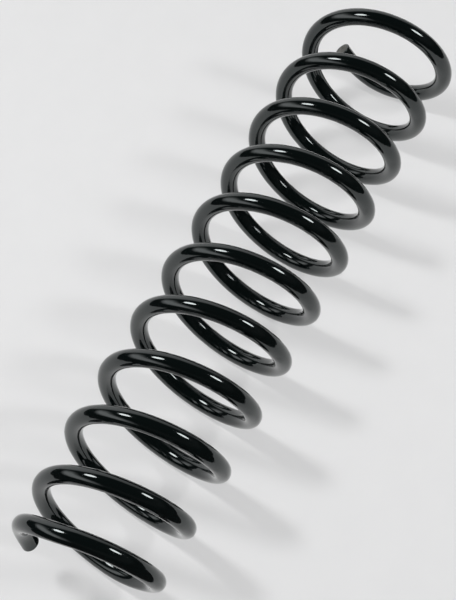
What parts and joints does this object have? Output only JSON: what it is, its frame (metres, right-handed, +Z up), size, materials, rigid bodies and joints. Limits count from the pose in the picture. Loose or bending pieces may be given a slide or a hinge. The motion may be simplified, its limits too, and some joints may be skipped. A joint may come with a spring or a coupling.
{
  "type": "coil spring",
  "caption": "Helical compression spring for a vehicle suspension, wound right-handed from round black-coated wire, with open ends.",
  "frame": {"origin": "on the ground under the middle of the spring as it lies on its side, halfway along its free length", "axes": "+X along the coil axis from the axle end to the body end, +Z up from the ground, +Y to the side"},
  "size_m": [0.4806, 0.113, 0.1134],
  "materials": {
    "black_coat": "gloss black coating over spring steel wire"
  },
  "bodies": {
    "axle_end_tail": {"axle_end_tail": "black_coat"},
    "coil_01_under": {"coil_01_under": "black_coat"},
    "coil_01_over": {"coil_01_over": "black_coat"},
    "coil_02_under": {"coil_02_under": "black_coat"},
    "coil_02_over": {"coil_02_over": "black_coat"},
    "coil_03_under": {"coil_03_under": "black_coat"},
    "coil_03_over": {"coil_03_over": "black_coat"},
    "coil_04_under": {"coil_04_under": "black_coat"},
    "coil_04_over": {"coil_04_over": "black_coat"},
    "coil_05_under": {"coil_05_under": "black_coat"},
    "coil_05_over": {"coil_05_over": "black_coat"},
    "coil_06_under": {"coil_06_under": "black_coat"},
    "coil_06_over": {"coil_06_over": "black_coat"},
    "coil_07_under": {"coil_07_under": "black_coat"},
    "coil_07_over": {"coil_07_over": "black_coat"},
    "coil_08_under": {"coil_08_under": "black_coat"},
    "coil_08_over": {"coil_08_over": "black_coat"},
    "coil_09_under": {"coil_09_under": "black_coat"},
    "coil_09_over": {"coil_09_over": "black_coat"},
    "coil_10_under": {"coil_10_under": "black_coat"},
    "coil_10_over": {"coil_10_over": "black_coat"},
    "body_end_tail": {"body_end_tail": "black_coat"}
  },
  "joints": [
    {"name": "compression", "type": "slide", "parent": "axle_end_tail", "child": "body_end_tail", "axis": [-1, 0, 0], "range_m": [0, 0.28], "stiffness_N_per_m": 25770},
    {"name": "coil_01_under_closes", "type": "slide", "parent": "axle_end_tail", "child": "coil_01_under", "axis": [-1, 0, 0], "range_m": [0, 0.002]},
    {"name": "coil_01_over_closes", "type": "slide", "parent": "axle_end_tail", "child": "coil_01_over", "axis": [-1, 0, 0], "range_m": [0, 0.0124]},
    {"name": "coil_02_under_closes", "type": "slide", "parent": "axle_end_tail", "child": "coil_02_under", "axis": [-1, 0, 0], "range_m": [0, 0.0272]},
    {"name": "coil_02_over_closes", "type": "slide", "parent": "axle_end_tail", "child": "coil_02_over", "axis": [-1, 0, 0], "range_m": [0, 0.0423]},
    {"name": "coil_03_under_closes", "type": "slide", "parent": "axle_end_tail", "child": "coil_03_under", "axis": [-1, 0, 0], "range_m": [0, 0.0573]},
    {"name": "coil_03_over_closes", "type": "slide", "parent": "axle_end_tail", "child": "coil_03_over", "axis": [-1, 0, 0], "range_m": [0, 0.0724]},
    {"name": "coil_04_under_closes", "type": "slide", "parent": "axle_end_tail", "child": "coil_04_under", "axis": [-1, 0, 0], "range_m": [0, 0.0874]},
    {"name": "coil_04_over_closes", "type": "slide", "parent": "axle_end_tail", "child": "coil_04_over", "axis": [-1, 0, 0], "range_m": [0, 0.1025]},
    {"name": "coil_05_under_closes", "type": "slide", "parent": "axle_end_tail", "child": "coil_05_under", "axis": [-1, 0, 0], "range_m": [0, 0.1176]},
    {"name": "coil_05_over_closes", "type": "slide", "parent": "axle_end_tail", "child": "coil_05_over", "axis": [-1, 0, 0], "range_m": [0, 0.1326]},
    {"name": "coil_06_under_closes", "type": "slide", "parent": "axle_end_tail", "child": "coil_06_under", "axis": [-1, 0, 0], "range_m": [0, 0.1477]},
    {"name": "coil_06_over_closes", "type": "slide", "parent": "axle_end_tail", "child": "coil_06_over", "axis": [-1, 0, 0], "range_m": [0, 0.1628]},
    {"name": "coil_07_under_closes", "type": "slide", "parent": "axle_end_tail", "child": "coil_07_under", "axis": [-1, 0, 0], "range_m": [0, 0.1778]},
    {"name": "coil_07_over_closes", "type": "slide", "parent": "axle_end_tail", "child": "coil_07_over", "axis": [-1, 0, 0], "range_m": [0, 0.1929]},
    {"name": "coil_08_under_closes", "type": "slide", "parent": "axle_end_tail", "child": "coil_08_under", "axis": [-1, 0, 0], "range_m": [0, 0.208]},
    {"name": "coil_08_over_closes", "type": "slide", "parent": "axle_end_tail", "child": "coil_08_over", "axis": [-1, 0, 0], "range_m": [0, 0.223]},
    {"name": "coil_09_under_closes", "type": "slide", "parent": "axle_end_tail", "child": "coil_09_under", "axis": [-1, 0, 0], "range_m": [0, 0.2381]},
    {"name": "coil_09_over_closes", "type": "slide", "parent": "axle_end_tail", "child": "coil_09_over", "axis": [-1, 0, 0], "range_m": [0, 0.2532]},
    {"name": "coil_10_under_closes", "type": "slide", "parent": "axle_end_tail", "child": "coil_10_under", "axis": [-1, 0, 0], "range_m": [0, 0.268]},
    {"name": "coil_10_over_closes", "type": "slide", "parent": "axle_end_tail", "child": "coil_10_over", "axis": [-1, 0, 0], "range_m": [0, 0.2782]}
  ],
  "couplings": [
    {"joint": "coil_01_under_closes", "follows": "compression", "ratio": 0.0071},
    {"joint": "coil_01_over_closes", "follows": "compression", "ratio": 0.0439},
    {"joint": "coil_02_under_closes", "follows": "compression", "ratio": 0.097},
    {"joint": "coil_02_over_closes", "follows": "compression", "ratio": 0.1508},
    {"joint": "coil_03_under_closes", "follows": "compression", "ratio": 0.2046},
    {"joint": "coil_03_over_closes", "follows": "compression", "ratio": 0.2584},
    {"joint": "coil_04_under_closes", "follows": "compression", "ratio": 0.3121},
    {"joint": "coil_04_over_closes", "follows": "compression", "ratio": 0.3659},
    {"joint": "coil_05_under_closes", "follows": "compression", "ratio": 0.4197},
    {"joint": "coil_05_over_closes", "follows": "compression", "ratio": 0.4735},
    {"joint": "coil_06_under_closes", "follows": "compression", "ratio": 0.5273},
    {"joint": "coil_06_over_closes", "follows": "compression", "ratio": 0.5811},
    {"joint": "coil_07_under_closes", "follows": "compression", "ratio": 0.6349},
    {"joint": "coil_07_over_closes", "follows": "compression", "ratio": 0.6887},
    {"joint": "coil_08_under_closes", "follows": "compression", "ratio": 0.7425},
    {"joint": "coil_08_over_closes", "follows": "compression", "ratio": 0.7963},
    {"joint": "coil_09_under_closes", "follows": "compression", "ratio": 0.8501},
    {"joint": "coil_09_over_closes", "follows": "compression", "ratio": 0.9039},
    {"joint": "coil_10_under_closes", "follows": "compression", "ratio": 0.9569},
    {"joint": "coil_10_over_closes", "follows": "compression", "ratio": 0.9932}
  ]
}
